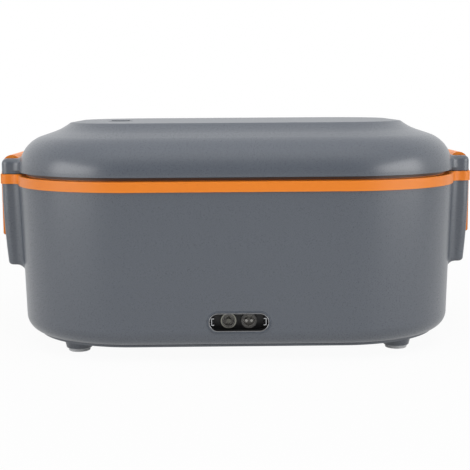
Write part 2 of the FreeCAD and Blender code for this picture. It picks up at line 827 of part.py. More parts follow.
# Thermostat: a disc switch with a two-eared flange against the plate and two blade terminals.
thermostat = new_body("thermostat")
sketch = new_sketch(thermostat, "XY_Plane", "plate_level")
circle(sketch, "thermostat_place", "0", "thermostat_diameter")
pad(thermostat, sketch, "thermostat_height", down=True)
sketch = new_sketch(thermostat, "XY_Plane", "plate_level")
flange_half = "thermostat_flange_width / 2"
flange_end = "thermostat_flange / 2"
polygon(
    sketch,
    [
        (f"thermostat_place - {flange_half}", f"-{flange_end}"),
        (f"thermostat_place + {flange_half}", f"-{flange_end}"),
        (f"thermostat_place + {flange_half}", flange_end),
        (f"thermostat_place - {flange_half}", flange_end),
    ],
)
pad(thermostat, sketch, "thermostat_flange_sheet", down=True)
sketch = new_sketch(thermostat, "XY_Plane", "plate_level - thermostat_height")
for side in ("-", "+"):
    blade_x = f"thermostat_place {side} terminal_spacing / 2"
    polygon(
        sketch,
        [
            (f"{blade_x} - terminal_sheet / 2", "-terminal_width / 2"),
            (f"{blade_x} + terminal_sheet / 2", "-terminal_width / 2"),
            (f"{blade_x} + terminal_sheet / 2", "terminal_width / 2"),
            (f"{blade_x} - terminal_sheet / 2", "terminal_width / 2"),
        ],
    )
pad(thermostat, sketch, "terminal_height", down=True)
sketch = new_sketch(thermostat, "XY_Plane", "plate_level")
for x, y in thermostat_screw_places:
    circle(sketch, x, y, plate_screw_hole)
pocket(thermostat, sketch, "thermostat_flange_sheet")
thermostat_screws = screw_group(
    "thermostat_screws",
    thermostat_screw_places,
    "plate_level - thermostat_flange_sheet",
    "thermostat_flange_sheet + small_screw_grip",
    small_screw,
)

# Power inlet: a dark obround socket flush with the casing's front, with a flange behind the wall
# and two round posts in its recess. The left post is a tube, the right post carries two pins.
inlet = new_body("inlet_socket")
sketch = new_sketch(inlet, "XZ_Plane", "inlet_face")
obround(sketch, "inlet_length + 2 * inlet_rim", "inlet_height + 2 * inlet_rim", "inlet_level")
pad(inlet, sketch, "inlet_depth + inlet_back", down=True)
flange_front = "inlet_face - inlet_proud - casing_wall - inlet_flange_gap"
sketch = new_sketch(inlet, "XZ_Plane", flange_front)
flange_length = "inlet_length + 2 * (inlet_rim + inlet_flange)"
obround(sketch, flange_length, "inlet_height + 2 * inlet_rim", "inlet_level")
pad(inlet, sketch, "inlet_flange_sheet", down=True)
sketch = new_sketch(inlet, "XZ_Plane", "inlet_face")
obround(sketch, "inlet_length", "inlet_height", "inlet_level")
pocket(inlet, sketch, "inlet_depth")


def mouth_edge(edge):
    return near(edge.BoundBox.YMin, "-inlet_face") and near(edge.BoundBox.YMax, "-inlet_face")


round_edges(inlet, "inlet_rim_round", mouth_edge)
sketch = new_sketch(inlet, "XZ_Plane", "inlet_floor")
circle(sketch, "-post_x", "inlet_level", "post_diameter - 2 * sleeve_wall - 2 * running_gap")
circle(sketch, "post_x", "inlet_level", "post_diameter")
pad(inlet, sketch, "inlet_depth - post_setback")
sketch = new_sketch(inlet, "XZ_Plane", "post_face")
circle(sketch, "-post_x", "inlet_level", "socket_bore")
circle(sketch, "post_x", "inlet_level", "socket_bore")
pocket(inlet, sketch, "socket_bore_depth")
sketch = new_sketch(inlet, "XZ_Plane", "inlet_floor")
circle(sketch, "-post_x", "inlet_level", "dc_pin_diameter + 2 * running_gap")
ac_places = [f"post_x {side} ac_pin_spacing / 2" for side in ("-", "+")]
for x in ac_places:
    circle(sketch, x, "inlet_level", "ac_pin_diameter + 2 * running_gap")
pocket(inlet, sketch, "inlet_back")
sketch = new_sketch(inlet, "XZ_Plane", "post_face")
circle(sketch, "-post_x", "inlet_level", "dc_pin_diameter + 2 * running_gap")
for x in ac_places:
    circle(sketch, x, "inlet_level", "ac_pin_diameter + 2 * running_gap")
pocket(inlet, sketch, "inlet_depth - post_setback")

sleeve = new_body("dc_sleeve")
sketch = new_sketch(sleeve, "XZ_Plane", "inlet_floor")
circle(sketch, "-post_x", "inlet_level", "post_diameter")
circle(sketch, "-post_x", "inlet_level", "post_diameter - 2 * sleeve_wall")
pad(sleeve, sketch, "inlet_depth - post_setback")

dc_pin = new_body("dc_pin")
sketch = new_sketch(dc_pin, "XZ_Plane", "tail_end")
circle(sketch, "-post_x", "inlet_level", "dc_pin_diameter")
pad(dc_pin, sketch, "post_face - tail_end")

ac_pins = new_body("ac_pins")
ac_pins.AllowCompound = True
sketch = new_sketch(ac_pins, "XZ_Plane", "tail_end")
for x in ac_places:
    circle(sketch, x, "inlet_level", "ac_pin_diameter")
pad(ac_pins, sketch, "post_face - tail_end")


def lead(label, points):
    """A wire in its sleeve at the inlet's level: straight runs joined by round bends."""
    level = measure("inlet_level")
    places = [Vector(measure(x), measure(y), level) for x, y in points]
    edges = []
    start = places[0]
    for before, corner, after in zip(places, places[1:], places[2:]):
        into = (corner - before).normalize()
        out = (after - corner).normalize()
        reach = min(corner.distanceToPoint(before), corner.distanceToPoint(after)) * bend_run_share
        radius = reach / math.tan(into.getAngle(out) / 2)
        first = corner - into * reach
        last = corner + out * reach
        middle = corner + (out - into).normalize() * (math.hypot(radius, reach) - radius)
        edges.append(Part.LineSegment(start, first).toShape())
        edges.append(Part.Arc(first, middle, last).toShape())
        start = last
    edges.append(Part.LineSegment(start, places[-1]).toShape())
    way = (places[1] - places[0]).normalize()
    section = Part.Wire(Part.Circle(places[0], way, measure("lead_diameter") / 2).toShape())
    wire = doc.addObject("Part::Feature", label)
    wire.Label = label
    wire.Shape = Part.Wire(edges).makePipeShell([section], True, False)


# Inner leads: from the inlet's tails to the heater, one through the fuse and one by way of the
# thermostat, with a short link between thermostat and heater. A bend takes this share of its run.
bend_run_share = 0.45
bend_y = "-(tail_end - lead_bend_run)"
fuse_end = "heater_width / 2 + fuse_length"
slant_y = f"-({fuse_end} + lead_end_run)"
lead(
    "lead_live",
    [
        ("-post_x", "-tail_end"),
        ("-post_x", bend_y),
        ("-fuse_place", slant_y),
        ("-fuse_place", f"-({fuse_end})"),
    ],
)
lead(
    "lead_neutral",
    [
        ("post_x", "-tail_end"),
        ("post_x", bend_y),
        ("thermostat_place", slant_y),
        ("thermostat_place", "-(thermostat_diameter / 2 + running_gap)"),
    ],
)
lead(
    "lead_link",
    [
        ("heater_length / 2", "0"),
        ("thermostat_place - thermostat_diameter / 2 - running_gap", "0"),
    ],
)
fuse = new_body("thermal_fuse")
sketch = new_sketch(fuse, "XZ_Plane", "heater_width / 2")
circle(sketch, "-fuse_place", "inlet_level", "fuse_diameter")
pad(fuse, sketch, "fuse_length")

# Food container: a pressed steel tub with drafted walls, a large bottom radius and a flat lip
# that rests on the liner's flange.
container = new_body("food_container")
sketch = new_sketch(container, "XY_Plane", "lip_level")
ring(sketch, "container_inset")
pad(container, sketch, "lip_level - container_foot", "container_draft", down=True)
sketch = new_sketch(container, "XY_Plane", "lip_level")
ring(sketch, "container_inset - lip_reach")
pad(container, sketch, "lip_sheet")
sketch = new_sketch(container, "XY_Plane", "container_top")
ring(sketch, "container_inset + container_wall")
hollow = "container_top - container_foot - container_wall"
pocket(container, sketch, hollow, "container_draft")
container_inside = "container_foot + container_wall"
round_edges(container, "container_round - container_wall", level_edge(container_inside))
round_edges(container, "container_round", level_edge("container_foot"))


def dome(body, start, inset, drop, roof):
    """The lid's form: an upright skirt, a sloping shoulder and a raised flat crown."""
    sketch = new_sketch(body, "XY_Plane", start)
    ring(sketch, f"lid_setback + {inset}")
    pad(body, sketch, f"skirt_top - ({drop}) - ({start})")
    sketch = new_sketch(body, "XY_Plane", f"skirt_top - ({drop})")
    ring(sketch, f"lid_setback + {inset}")
    pad(body, sketch, "shoulder_rise", "atan(shoulder_inset / shoulder_rise)")
    sketch = new_sketch(body, "XY_Plane", f"shoulder_top - ({drop})")
    ring(sketch, f"lid_setback + {inset} + shoulder_inset")
    pad(body, sketch, f"({roof}) - (shoulder_top - ({drop}))", "atan(crown_inset / crown_rise)")


# Lid shell: the dome with an ear at each end for the latch, a dished vent and a hinge-pin bore
# that stops short of the front face. Its hollow has a shelf for the inner panel.
lid_form = new_body("lid_form")
dome(lid_form, "lid_edge", "0", "0", "lid_top")
round_edges(lid_form, "lid_round", level_edge("skirt_top"))
round_edges(lid_form, "crown_fillet", level_edge("shoulder_top"))
round_edges(lid_form, "crown_round", level_edge("lid_top"))
sketch = new_sketch(lid_form, "XZ_Plane")
both_ends(
    sketch,
    [
        ("ear_back", "lid_edge"),
        ("ear_face", "lid_edge"),
        ("ear_face", "lid_ear_top"),
        ("ear_back", "lid_ear_top"),
    ],
)
pad(lid_form, sketch, "ear_width", both_ways=True)


def lid_ear_side(edge):
    box = edge.BoundBox
    on_side = near(abs(box.Center.y), "ear_half")
    return on_side and near(abs(box.XMin), "ear_face") and near(abs(box.XMax), "ear_face")


def lid_ear_brow(edge):
    box = edge.BoundBox
    along = near(box.ZMin, "lid_ear_top") and near(box.ZMax, "lid_ear_top")
    return along and near(abs(box.XMin), "ear_face") and near(abs(box.XMax), "ear_face")


round_edges(lid_form, "ear_edge_round", lid_ear_side)
round_edges(lid_form, "lid_ear_round", lid_ear_brow)
round_edges(lid_form, "ear_root_fillet", ear_root)
sketch = new_sketch(lid_form, "XY_Plane", "lid_edge")
rounded_rectangle(sketch, "ear_face", "ear_half", "ear_edge_round")
pad(lid_form, sketch, "lid_edge - lid_ear_base", down=True)
sketch = new_sketch(lid_form, "XY_Plane", "lid_ear_base")
ring(sketch, "neck_setback - seat_gap")
pocket(lid_form, sketch, "lid_edge - lid_ear_base", up=True)
sketch = new_sketch(lid_form, "XZ_Plane")
both_ends(
    sketch,
    [
        ("band_length / 2 - lid_setback", "lid_ear_base - overrun"),
        ("ear_face + overrun", "lid_ear_base - overrun"),
        ("ear_face + overrun", "lid_ear_top + overrun"),
        ("band_length / 2 - lid_setback", "lid_ear_top + overrun"),
    ],
)
pocket(lid_form, sketch, "slot_width", both_ways=True)
sketch = new_sketch(lid_form, "XZ_Plane", "-ear_half - overrun")
circle(sketch, "pivot_x", "pivot_level", "pin_diameter + 2 * running_gap")
circle(sketch, "-pivot_x", "pivot_level", "pin_diameter + 2 * running_gap")
pocket(lid_form, sketch, "ear_width - pin_end_wall + overrun", up=True)
sketch = new_sketch(lid_form, "XY_Plane", "lid_top")
circle(sketch, "-vent_x", "-vent_y", "vent_dish_diameter")
pocket(lid_form, sketch, "vent_dish_depth")

lid_hollow = new_body("lid_hollow")
sketch = new_sketch(lid_hollow, "XY_Plane", "lid_ear_base - overrun")
ring(sketch, "lid_setback + lid_wall")
pad(lid_hollow, sketch, "panel_top - lid_ear_base + overrun")
dome(lid_hollow, "panel_top", "lid_wall + panel_shelf", "lid_wall / 2", "lid_top - lid_wall")
round_edges(lid_hollow, "lid_hollow_round", level_edge("skirt_top - lid_wall / 2"))
sketch = new_sketch(lid_hollow, "XY_Plane", "lid_top")
circle(sketch, "-vent_x", "-vent_y", "vent_tube_diameter")
pocket(lid_hollow, sketch, "lid_top - panel_top")
lid_cup = doc.addObject("Part::Cut", "lid_cup")
lid_cup.Base = lid_form
lid_cup.Tool = lid_hollow
vent_hole = doc.addObject("Part::Cylinder", "vent_hole")
bind(vent_hole, "Radius", "vent_bore / 2")
bind(vent_hole, "Height", "lid_top - panel_level + overrun")
bind(vent_hole, "Placement.Base.x", "-vent_x")
bind(vent_hole, "Placement.Base.y", "-vent_y")
bind(vent_hole, "Placement.Base.z", "panel_level - overrun / 2")
lid_shell = doc.addObject("Part::Cut", "lid_shell")
lid_shell.Label = "lid_shell"
lid_shell.Base = lid_cup
lid_shell.Tool = vent_hole

# Inner lid panel: a flat panel welded under the lid's shelf, with two ribs that hold the seal.
panel = new_body("lid_panel")
sketch = new_sketch(panel, "XY_Plane", "panel_level")
ring(sketch, "lid_setback + lid_wall + seat_gap")
pad(panel, sketch, "panel_thickness")
outer_rib = "lid_setback + seal_inset - seat_gap"
inner_rib = "lid_setback + seal_inset + seal_width + seat_gap"
for outside in (f"{outer_rib} - rib_width", inner_rib):
    sketch = new_sketch(panel, "XY_Plane", "panel_level")
    ring(sketch, outside)
    pad(panel, sketch, "rib_height", down=True)
    sketch = new_sketch(panel, "XY_Plane", "panel_level - rib_height")
    ring(sketch, f"{outside} + rib_width")
    pocket(panel, sketch, "rib_height", up=True)
sketch = new_sketch(panel, "XY_Plane", "panel_top")
circle(sketch, "-vent_x", "-vent_y", "vent_bore")
pocket(panel, sketch, "panel_thickness")

seal = new_body("lid_seal")
sketch = new_sketch(seal, "XY_Plane", "panel_level")
ring(sketch, "lid_setback + seal_inset")
pad(seal, sketch, "seal_height", down=True)
sketch = new_sketch(seal, "XY_Plane", "panel_level")
ring(sketch, "lid_setback + seal_inset + seal_width")
pocket(seal, sketch, "seal_height")

# Vent plug: a silicone button in the lid's dish, with a stem down the vent tube.
plug = new_body("vent_plug")
sketch = new_sketch(plug, "XY_Plane", "lid_top - vent_dish_depth")
circle(sketch, "-vent_x", "-vent_y", "plug_cap_diameter")
pad(plug, sketch, "plug_cap_height")
sketch = new_sketch(plug, "XY_Plane", "lid_top - vent_dish_depth")
circle(sketch, "-vent_x", "-vent_y", "plug_stem_diameter")
pad(plug, sketch, "plug_stem_length", down=True)

# Latches: a flap that hangs from a knuckle on the hinge pin, flush with the band's arms, and has
# a hook rib that closes over the casing's catch.
for side, sign in (("left", "-"), ("right", "")):
    latch = new_body(f"latch_{side}")
    sketch = new_sketch(latch, "XZ_Plane")
    flap = [
        ("pivot_x", "pivot_level"),
        ("ear_face", "pivot_level"),
        ("band_ear_face", "pivot_level - knuckle_radius"),
        ("band_ear_face", "flap_foot"),
        ("flap_inside", "flap_foot"),
        ("flap_inside", "hook_base"),
        ("hook_face", "hook_base + hook_slope"),
        ("hook_face", "hook_top - hook_slope"),
        ("flap_inside", "hook_top"),
        ("flap_inside", "knuckle_root"),
    ]
    polygon(sketch, [(f"{sign}({x})", z) for x, z in flap])
    pad(latch, sketch, "latch_width", both_ways=True)
    round_edges(latch, "flap_round", level_edge("flap_foot"))
    sketch = new_sketch(latch, "XZ_Plane")
    circle(sketch, f"{sign}pivot_x", "pivot_level", "2 * knuckle_radius")
    pad(latch, sketch, "latch_width", both_ways=True)
    sketch = new_sketch(latch, "XZ_Plane")
    circle(sketch, f"{sign}pivot_x", "pivot_level", "pin_diameter + 2 * running_gap")
    pocket(latch, sketch, "latch_width + overrun", both_ways=True)

    pin = new_body(f"latch_pin_{side}")
    sketch = new_sketch(pin, "XZ_Plane", "-ear_half")
    circle(sketch, f"{sign}pivot_x", "pivot_level", "pin_diameter")
    pad(pin, sketch, "ear_width - pin_end_wall - running_gap")

doc.recompute()
for thing in doc.Objects:
    if "Invalid" in thing.State or "Error" in thing.State:
        raise RuntimeError(f"{thing.Name} failed: {thing.State}")

helpers = ("lid_form", "lid_hollow", "lid_cup", "vent_hole")
kinds = ("PartDesign::Body", "Part::Compound", "Part::Cut", "Part::Box", "Part::Feature")
pieces = [
    thing
    for thing in doc.Objects
    if thing.TypeId in kinds and thing.Name not in helpers
]
for piece in pieces:
    if piece.Shape.isNull() or not piece.Shape.isValid():
        raise RuntimeError(f"{piece.Label} has no valid shape")
os.makedirs("parts", exist_ok=True)
for piece in pieces:
    piece.Shape.exportStep(f"parts/{piece.Label}.step")
    print(piece.Label, len(piece.Shape.Solids), "solids", round(piece.Shape.Volume), "mm3")
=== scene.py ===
import bmesh
import bpy
import math
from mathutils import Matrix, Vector


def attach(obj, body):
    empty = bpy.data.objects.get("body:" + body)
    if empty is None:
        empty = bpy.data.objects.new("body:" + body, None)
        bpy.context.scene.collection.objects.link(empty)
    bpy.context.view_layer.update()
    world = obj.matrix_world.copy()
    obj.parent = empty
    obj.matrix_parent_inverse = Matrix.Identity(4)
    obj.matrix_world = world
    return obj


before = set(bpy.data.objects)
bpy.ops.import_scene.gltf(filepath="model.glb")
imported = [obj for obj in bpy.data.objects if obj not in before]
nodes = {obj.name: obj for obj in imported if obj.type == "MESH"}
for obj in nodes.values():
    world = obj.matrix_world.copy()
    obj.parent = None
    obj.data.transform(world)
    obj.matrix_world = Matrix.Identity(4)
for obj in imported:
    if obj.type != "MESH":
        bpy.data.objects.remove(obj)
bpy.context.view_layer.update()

# Outer casing and base cover: one grey ABS tub with an ear at each end, and a plate of the same
# plastic let into its floor, both injection moulded with a fine satin grain.


def grain_group():
    """Moulded plastic: soft clouds in the colour, and a fine grain in gloss and height."""
    group = bpy.data.node_groups.new("moulded_grain", "ShaderNodeTree")
    for name, kind in (
        ("Deep Colour", "NodeSocketColor"),
        ("Pale Colour", "NodeSocketColor"),
        ("Least Roughness", "NodeSocketFloat"),
        ("Most Roughness", "NodeSocketFloat"),
        ("Grain Scale", "NodeSocketFloat"),
        ("Cloud Scale", "NodeSocketFloat"),
    ):
        group.interface.new_socket(name=name, in_out="INPUT", socket_type=kind)
    for name, kind in (
        ("Colour", "NodeSocketColor"),
        ("Roughness", "NodeSocketFloat"),
        ("Height", "NodeSocketFloat"),
    ):
        group.interface.new_socket(name=name, in_out="OUTPUT", socket_type=kind)
    add, link = group.nodes.new, group.links.new
    given = add("NodeGroupInput")
    made = add("NodeGroupOutput")
    place = add("ShaderNodeTexCoord")
    clouds = add("ShaderNodeTexNoise")
    clouds.inputs["Detail"].default_value = 3
    grain = add("ShaderNodeTexNoise")
    grain.inputs["Detail"].default_value = 4
    grain.inputs["Roughness"].default_value = 0.6
    for noise, scale in ((clouds, "Cloud Scale"), (grain, "Grain Scale")):
        link(place.outputs["Object"], noise.inputs["Vector"])
        link(given.outputs[scale], noise.inputs["Scale"])
    blend = add("ShaderNodeMix")
    blend.data_type = "RGBA"
    link(clouds.outputs["Fac"], blend.inputs["Factor"])
    link(given.outputs["Deep Colour"], blend.inputs["A"])
    link(given.outputs["Pale Colour"], blend.inputs["B"])
    gloss = add("ShaderNodeMapRange")
    gloss.inputs["From Min"].default_value = 0.3
    gloss.inputs["From Max"].default_value = 0.7
    link(grain.outputs["Fac"], gloss.inputs["Value"])
    link(given.outputs["Least Roughness"], gloss.inputs["To Min"])
    link(given.outputs["Most Roughness"], gloss.inputs["To Max"])
    link(blend.outputs["Result"], made.inputs["Colour"])
    link(gloss.outputs["Result"], made.inputs["Roughness"])
    link(grain.outputs["Fac"], made.inputs["Height"])
    return group


moulded_grain = grain_group()


def shader_of(material):
    return material.node_tree.nodes["Principled BSDF"]


def finish_from(group, name, values, bump, depth):
    """A material whose colour, gloss and relief come from one of the finish groups."""
    material = bpy.data.materials.new(name)
    material.use_nodes = True
    tree = material.node_tree
    shader = shader_of(material)
    finish = tree.nodes.new("ShaderNodeGroup")
    finish.node_tree = group
    for socket, value in values.items():
        finish.inputs[socket].default_value = value
    relief = tree.nodes.new("ShaderNodeBump")
    relief.inputs["Strength"].default_value = bump
    relief.inputs["Distance"].default_value = depth
    tree.links.new(finish.outputs["Colour"], shader.inputs["Base Color"])
    tree.links.new(finish.outputs["Roughness"], shader.inputs["Roughness"])
    tree.links.new(finish.outputs["Height"], relief.inputs["Height"])
    tree.links.new(relief.outputs["Normal"], shader.inputs["Normal"])
    return material


def moulding(name, deep, pale, least, most, grain=2600, cloud=16, bump=0.12, depth=0.00005):
    """A moulded plastic, rubber or silicone, from its two colours and its range of gloss."""
    values = {
        "Deep Colour": (*deep, 1),
        "Pale Colour": (*pale, 1),
        "Least Roughness": least,
        "Most Roughness": most,
        "Grain Scale": grain,
        "Cloud Scale": cloud,
    }
    return finish_from(moulded_grain, name, values, bump, depth)


def dress(material, *names):
    """Gives CAD nodes a material in place of their plain one."""
    for name in names:
        for holder in nodes[name].material_slots:
            holder.material = material


casing_deep, casing_pale = (0.064, 0.075, 0.094), (0.070, 0.082, 0.102)
casing_sheen = 0.9
casing_gloss = (0.25, 0.33)
casing_plastic = moulding("casing_plastic", casing_deep, casing_pale, *casing_gloss)
shader_of(casing_plastic).inputs["Specular IOR Level"].default_value = casing_sheen
dress(casing_plastic, "outer_casing", "base_cover")

# Foot pads: four pale grey rubber discs, moulded with a matt face and a slight taper, and pressed
# into the seats of the cover's bosses, over the screw heads.
pad_rubber = moulding(
    "pad_rubber", (0.66, 0.67, 0.68), (0.74, 0.75, 0.76), 0.62, 0.85, 1800, 60, 0.3, 0.0001
)
dress(
    pad_rubber,
    "foot_pad_front_left",
    "foot_pad_front_right",
    "foot_pad_rear_left",
    "foot_pad_rear_right",
)

# Screws, clamp and hinge pins: turned and pressed steel with a dull zinc coat. The screws hold the
# cover, plate, clamp and thermostat, and the pins are pushed into the lid's ears.


def brushed_group():
    """Metal with fine lines along one direction: a noise stretched through its scale."""
    group = bpy.data.node_groups.new("brushed_lines", "ShaderNodeTree")
    for name, kind in (
        ("Deep Colour", "NodeSocketColor"),
        ("Pale Colour", "NodeSocketColor"),
        ("Least Roughness", "NodeSocketFloat"),
        ("Most Roughness", "NodeSocketFloat"),
        ("Line Scale", "NodeSocketVector"),
    ):
        group.interface.new_socket(name=name, in_out="INPUT", socket_type=kind)
    for name, kind in (
        ("Colour", "NodeSocketColor"),
        ("Roughness", "NodeSocketFloat"),
        ("Height", "NodeSocketFloat"),
    ):
        group.interface.new_socket(name=name, in_out="OUTPUT", socket_type=kind)
    add, link = group.nodes.new, group.links.new
    given = add("NodeGroupInput")
    made = add("NodeGroupOutput")
    place = add("ShaderNodeTexCoord")
    stretch = add("ShaderNodeVectorMath")
    stretch.operation = "MULTIPLY"
    link(place.outputs["Object"], stretch.inputs[0])
    link(given.outputs["Line Scale"], stretch.inputs[1])
    lines = add("ShaderNodeTexNoise")
    lines.inputs["Scale"].default_value = 1
    lines.inputs["Detail"].default_value = 5
    link(stretch.outputs["Vector"], lines.inputs["Vector"])
    blend = add("ShaderNodeMix")
    blend.data_type = "RGBA"
    link(lines.outputs["Fac"], blend.inputs["Factor"])
    link(given.outputs["Deep Colour"], blend.inputs["A"])
    link(given.outputs["Pale Colour"], blend.inputs["B"])
    gloss = add("ShaderNodeMapRange")
    gloss.inputs["From Min"].default_value = 0.3
    gloss.inputs["From Max"].default_value = 0.7
    link(lines.outputs["Fac"], gloss.inputs["Value"])
    link(given.outputs["Least Roughness"], gloss.inputs["To Min"])
    link(given.outputs["Most Roughness"], gloss.inputs["To Max"])
    link(blend.outputs["Result"], made.inputs["Colour"])
    link(gloss.outputs["Result"], made.inputs["Roughness"])
    link(lines.outputs["Fac"], made.inputs["Height"])
    return group


brushed_lines = brushed_group()
line_depth = 0.00003


def metal(name, deep, pale, least, most, lines, bump=0.08):
    """A metal with fine lines, from its two colours, its range of gloss and its lines' scale."""
    values = {
        "Deep Colour": (*deep, 1),
        "Pale Colour": (*pale, 1),
        "Least Roughness": least,
        "Most Roughness": most,
        "Line Scale": lines,
    }
    material = finish_from(brushed_lines, name, values, bump, line_depth)
    shader_of(material).inputs["Metallic"].default_value = 1
    return material


zinc_steel = metal(
    "zinc_steel", (0.46, 0.47, 0.48), (0.62, 0.63, 0.64), 0.28, 0.45, (900, 900, 900)
)
dress(
    zinc_steel,
    "base_screws",
    "heating_plate_screws",
    "heater_clamp",
    "heater_clamp_screws",
    "thermostat_screws",
    "latch_pin_left",
    "latch_pin_right",
)

# Power inlet: a black nylon socket with a grey lip, pushed through the casing's front from inside,
# with a dull sleeve and pin in its left post and two pins in its right one. A nickel trim ring is
# pressed into its mouth, and a bent steel clip at each end of the recess grips the plug.


def part_axes(tree):
    """The three coordinates of a point on the piece."""
    place = tree.nodes.new("ShaderNodeTexCoord")
    axes = tree.nodes.new("ShaderNodeSeparateXYZ")
    tree.links.new(place.outputs["Object"], axes.inputs["Vector"])
    return axes.outputs


def edge_mask(tree, distance, outside, inside):
    """A mask that goes from 0 to 1 where a distance goes from outside to inside."""
    mask = tree.nodes.new("ShaderNodeMapRange")
    mask.inputs["From Min"].default_value = outside
    mask.inputs["From Max"].default_value = inside
    tree.links.new(distance, mask.inputs["Value"])
    return mask.outputs["Result"]


def overlay(tree, target, mask, kind, value):
    """Lays a value over what feeds a shader's socket, where the mask is 1."""
    zone = tree.nodes.new("ShaderNodeMix")
    zone.data_type = kind
    given, laid = [i for i in zone.inputs if i.enabled and i.name in "AB"]
    laid.default_value = value
    tree.links.new(mask, zone.inputs["Factor"])
    tree.links.new(target.links[0].from_socket, given)
    tree.links.new(next(o for o in zone.outputs if o.enabled), target)


inlet_level = 0.0189
post_offset = 0.0048
post_edge, post_inside = 0.0038, 0.0037
bore_edge, bore_inside = 0.0028, 0.0026
lip_back, lip_front = -0.0823, -0.0824
post_grey = (0.075, 0.073, 0.069, 1)
# Painted light: the deep floor of each post's bore is coloured pale against the shade that falls in
# it.
bore_painted_light = (0.46, 0.445, 0.415, 1)
inlet_plastic = moulding(
    "inlet_plastic", (0.010, 0.010, 0.011), (0.016, 0.016, 0.017), 0.3, 0.45
)
tree = inlet_plastic.node_tree
axes = part_axes(tree)
fold = tree.nodes.new("ShaderNodeMath")
fold.operation = "ABSOLUTE"
tree.links.new(axes["X"], fold.inputs[0])
flat = tree.nodes.new("ShaderNodeCombineXYZ")
tree.links.new(fold.outputs["Value"], flat.inputs["X"])
tree.links.new(axes["Z"], flat.inputs["Z"])
reach = tree.nodes.new("ShaderNodeVectorMath")
reach.operation = "DISTANCE"
reach.inputs[1].default_value = (post_offset, 0, inlet_level)
tree.links.new(flat.outputs["Vector"], reach.inputs[0])
post = edge_mask(tree, reach.outputs["Value"], post_edge, post_inside)
bore = edge_mask(tree, reach.outputs["Value"], bore_edge, bore_inside)
lip = edge_mask(tree, axes["Y"], lip_back, lip_front)
colour = shader_of(inlet_plastic).inputs["Base Color"]
# The bore zone lays painted light over the socket; the post and lip zones are the socket's own
# colours.
for zone, tint in ((post, post_grey), (bore, bore_painted_light), (lip, (*casing_pale, 1))):
    overlay(tree, colour, zone, "RGBA", tint)
dress(inlet_plastic, "inlet_socket")
dull_nickel = metal(
    "dull_nickel", (0.22, 0.22, 0.19), (0.29, 0.29, 0.25), 0.3, 0.45, (700, 2500, 700)
)
dress(dull_nickel, "dc_sleeve")
dark_nickel = metal(
    "dark_nickel", (0.11, 0.11, 0.095), (0.15, 0.15, 0.13), 0.35, 0.5, (900, 300, 900)
)
dress(dark_nickel, "dc_pin")
contact_brass = metal(
    "contact_brass", (0.25, 0.245, 0.23), (0.32, 0.315, 0.295), 0.2, 0.32, (900, 300, 900)
)
dress(contact_brass, "ac_pins")

trim_radius = 0.00448
trim_wall = 0.00053
trim_shift = 0.0097
trim_depth = 0.0010
trim_front = -0.08295
trim_steps = 64
trim_round_share = 0.45
bpy.ops.object.select_all(action="DESELECT")
bpy.ops.mesh.primitive_cylinder_add(
    vertices=trim_steps,
    radius=trim_radius,
    depth=trim_depth,
    end_fill_type="NOTHING",
    location=(0, trim_front + trim_depth / 2, inlet_level),
    rotation=(math.pi / 2, math.pi / trim_steps, 0),
)
trim = bpy.context.object
trim.name = "inlet_trim"
bpy.ops.object.transform_apply(location=True, rotation=True, scale=True)
for side in (-1, 1):
    for vertex in trim.data.vertices:
        vertex.select = vertex.co.x * side > 0
    for kind in (trim.data.edges, trim.data.polygons):
        for element in kind:
            element.select = all(trim.data.vertices[i].select for i in element.vertices)
    bpy.ops.object.mode_set(mode="EDIT")
    bpy.ops.mesh.select_mode(type="VERT")
    bpy.ops.transform.translate(value=(side * trim_shift, 0, 0))
    bpy.ops.object.mode_set(mode="OBJECT")
wall = trim.modifiers.new("wall", "SOLIDIFY")
wall.thickness = trim_wall
wall.offset = -1
lip_round = trim.modifiers.new("lip_round", "BEVEL")
lip_round.width = trim_wall * trim_round_share
lip_round.segments = 4
lip_round.limit_method = "ANGLE"
for step in ("wall", "lip_round"):
    bpy.ops.object.modifier_apply(modifier=step)
bpy.ops.object.shade_smooth_by_angle()
trim_nickel = metal(
    "trim_nickel", (0.22, 0.225, 0.235), (0.29, 0.295, 0.305), 0.26, 0.38, (900, 900, 900)
)
trim.data.materials.append(trim_nickel)
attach(trim, "base")

clip_sheet = 0.00045
clip_leg = 0.0014
clip_half_height = 0.00175
clip_x = -0.0130
clip_front = -0.0812
clip_back = -0.0738
bpy.ops.object.select_all(action="DESELECT")
bpy.ops.mesh.primitive_cube_add(
    size=1,
    location=(clip_x + clip_sheet / 2, (clip_front + clip_back) / 2, inlet_level),
    scale=(clip_sheet, clip_back - clip_front, 2 * clip_half_height),
)
clip = bpy.context.object
clip.name = "inlet_clip_left"
bpy.ops.object.transform_apply(location=True, rotation=True, scale=True)
bpy.ops.object.mode_set(mode="EDIT")
for side in (-1, 1):
    bpy.ops.mesh.select_all(action="SELECT")
    cut = inlet_level + side * (clip_half_height - clip_sheet)
    bpy.ops.mesh.bisect(plane_co=(0, 0, cut), plane_no=(0, 0, 1))
bpy.ops.mesh.select_all(action="DESELECT")
bpy.ops.mesh.select_mode(type="FACE")
shape = bmesh.from_edit_mesh(clip.data)
for face in shape.faces:
    off_middle = abs(face.calc_center_median().z - inlet_level)
    face.select = face.normal.x > 0.5 and off_middle > clip_half_height - clip_sheet
bmesh.update_edit_mesh(clip.data)
bpy.ops.mesh.extrude_region_move(
    TRANSFORM_OT_translate={"value": (clip_leg - clip_sheet, 0, 0)}
)
bpy.ops.object.mode_set(mode="OBJECT")
edge = clip.modifiers.new("edge", "BEVEL")
edge.width = clip_sheet / 5
edge.segments = 2
bpy.ops.object.modifier_apply(modifier="edge")
bpy.ops.object.shade_smooth_by_angle()
clip.data.materials.append(zinc_steel)
mirrored_clip = clip.copy()
mirrored_clip.data = clip.data.copy()
mirrored_clip.name = "inlet_clip_right"
bpy.context.collection.objects.link(mirrored_clip)
bpy.ops.object.select_all(action="DESELECT")
mirrored_clip.select_set(True)
bpy.context.view_layer.objects.active = mirrored_clip
bpy.ops.object.mode_set(mode="EDIT")
bpy.ops.mesh.select_all(action="SELECT")
